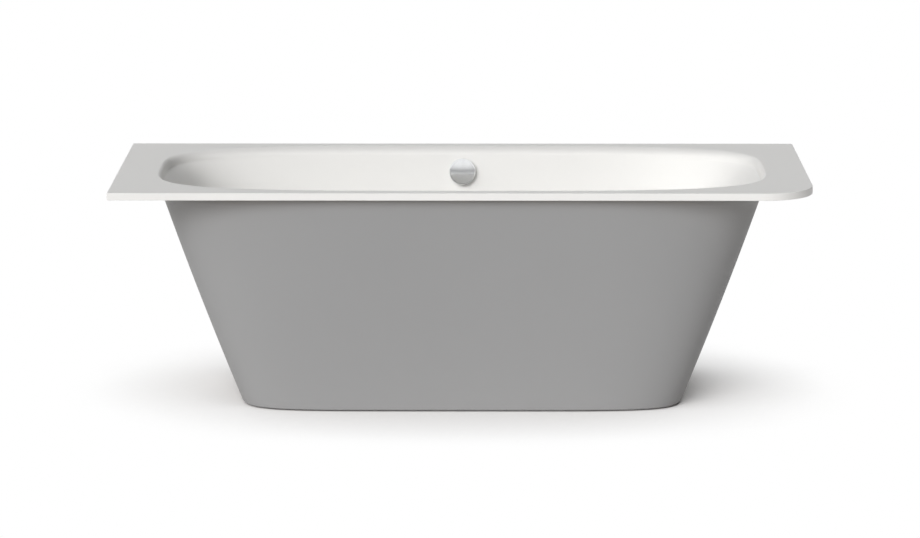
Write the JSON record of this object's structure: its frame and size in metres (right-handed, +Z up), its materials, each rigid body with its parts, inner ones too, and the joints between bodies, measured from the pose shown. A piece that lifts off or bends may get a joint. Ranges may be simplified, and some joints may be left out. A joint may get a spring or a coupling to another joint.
{
  "type": "built-in bathtub",
  "caption": "Built-in bathtub with a flat deck, moulded oval basin, tapered casing, adjustable feet, turn-knob overflow, pop-up waste and trap.",
  "frame": {"origin": "on the floor under the middle of the deck", "axes": "+X along the wall, +Y towards the wall, +Z up"},
  "size_m": [1.8, 0.8, 0.59],
  "materials": {
    "acrylic": "gloss",
    "casing": "matt",
    "batten": "raw softwood",
    "board": "raw chipboard",
    "galvanised": "galvanised",
    "zinc": "zinc plated",
    "foot": "matt",
    "chrome": "polished",
    "seal": "matt",
    "pipe": "satin",
    "fitting": "satin",
    "drain": "satin",
    "sheath": "satin"
  },
  "bodies": {
    "bath": {"bath_shell": "acrylic", "front_batten": "batten", "back_batten": "batten", "left_batten": "batten", "right_batten": "batten", "base_board": "board", "casing": "casing", "casing_screws": "zinc", "left_leg_bar": "galvanised", "right_leg_bar": "galvanised", "leg_screws": "zinc", "foot_nuts": "zinc", "overflow_flange": "chrome", "overflow_gasket": "seal", "overflow_body": "pipe", "overflow_screws": "zinc", "overflow_pipe": "pipe", "overflow_elbow": "fitting", "link_pipe": "pipe", "overflow_nuts": "fitting", "cable_sheath": "sheath", "cable_clips": "fitting", "waste_flange": "chrome", "flange_gasket": "seal", "waste_gasket": "seal", "waste_body": "pipe", "lever_pin": "zinc", "trap_nut": "fitting", "trap_body": "pipe", "trap_cap": "fitting", "outlet_nut": "fitting", "outlet_pipe": "drain"},
    "knob": {"overflow_knob": "chrome", "knob_set_screw": "zinc", "overflow_shaft": "zinc"},
    "plug": {"plug_cap": "chrome", "plug_seal": "seal", "plug_stem": "zinc"},
    "lever": {"lift_lever": "zinc"},
    "cable": {"cable_core": "zinc"},
    "foot_fl": {"front_left_pad": "foot", "front_left_spindle": "zinc"},
    "foot_fr": {"front_right_pad": "foot", "front_right_spindle": "zinc"},
    "foot_bl": {"back_left_pad": "foot", "back_left_spindle": "zinc"},
    "foot_br": {"back_right_pad": "foot", "back_right_spindle": "zinc"}
  },
  "joints": [
    {"name": "knob_turn", "type": "hinge", "parent": "bath", "child": "knob", "pos_m": [0, 0.32077, 0.525], "axis": [0, -0.9848, 0.1736], "range_deg": [0, 90]},
    {"name": "plug_lift", "type": "slide", "parent": "bath", "child": "plug", "axis": [0, 0, 1], "range_m": [0, 0.0101]},
    {"name": "lever_turn", "type": "hinge", "parent": "bath", "child": "lever", "pos_m": [-0.018, 0, 0.1425], "axis": [0, -1, 0], "range_deg": [0, 31.2]},
    {"name": "cable_push", "type": "slide", "parent": "bath", "child": "cable", "axis": [1, 0, 0], "range_m": [0, 0.0082]},
    {"name": "foot_fl_set", "type": "slide", "parent": "bath", "child": "foot_fl", "axis": [0, 0, -1], "range_m": [0, 0.025]},
    {"name": "foot_fr_set", "type": "slide", "parent": "bath", "child": "foot_fr", "axis": [0, 0, -1], "range_m": [0, 0.025]},
    {"name": "foot_bl_set", "type": "slide", "parent": "bath", "child": "foot_bl", "axis": [0, 0, -1], "range_m": [0, 0.025]},
    {"name": "foot_br_set", "type": "slide", "parent": "bath", "child": "foot_br", "axis": [0, 0, -1], "range_m": [0, 0.025]}
  ],
  "couplings": [
    {"joint": "plug_lift", "follows": "knob_turn", "m_per_rad": 0.0063662},
    {"joint": "lever_turn", "follows": "knob_turn", "ratio": 0.345},
    {"joint": "cable_push", "follows": "knob_turn", "m_per_rad": 0.0051286}
  ]
}
